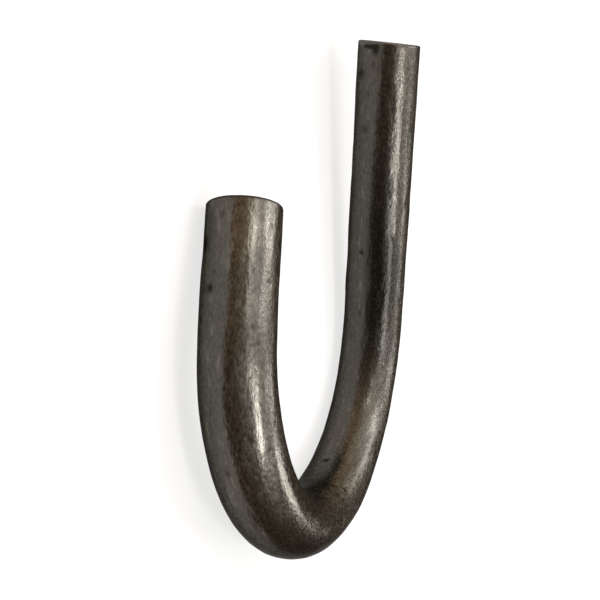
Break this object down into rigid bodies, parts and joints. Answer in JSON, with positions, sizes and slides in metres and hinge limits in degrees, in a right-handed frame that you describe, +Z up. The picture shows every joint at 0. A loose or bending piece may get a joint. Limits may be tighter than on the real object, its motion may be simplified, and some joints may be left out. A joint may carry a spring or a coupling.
{
  "type": "weld-on rope hook",
  "caption": "Open J-shaped hook bent from plain round steel bar, with a long shank to weld on and a short rounded hook leg that keeps rope in the bend.",
  "frame": {"origin": "bottom centre of the bounding box, on the surface that the hook lies on", "axes": "+Z up, away from the surface that the hook lies on; +Y along the shank's side of the hook, from the bend to the cut end; +X from the hook leg towards the shank"},
  "size_m": [0.0722, 0.0968, 0.0176],
  "materials": {
    "mill_scale_steel": "bare mild steel under thin dark mill scale, satin with fine lengthwise rolling marks"
  },
  "bodies": {
    "root": {"rope_hook": "mill_scale_steel"}
  },
  "joints": []
}
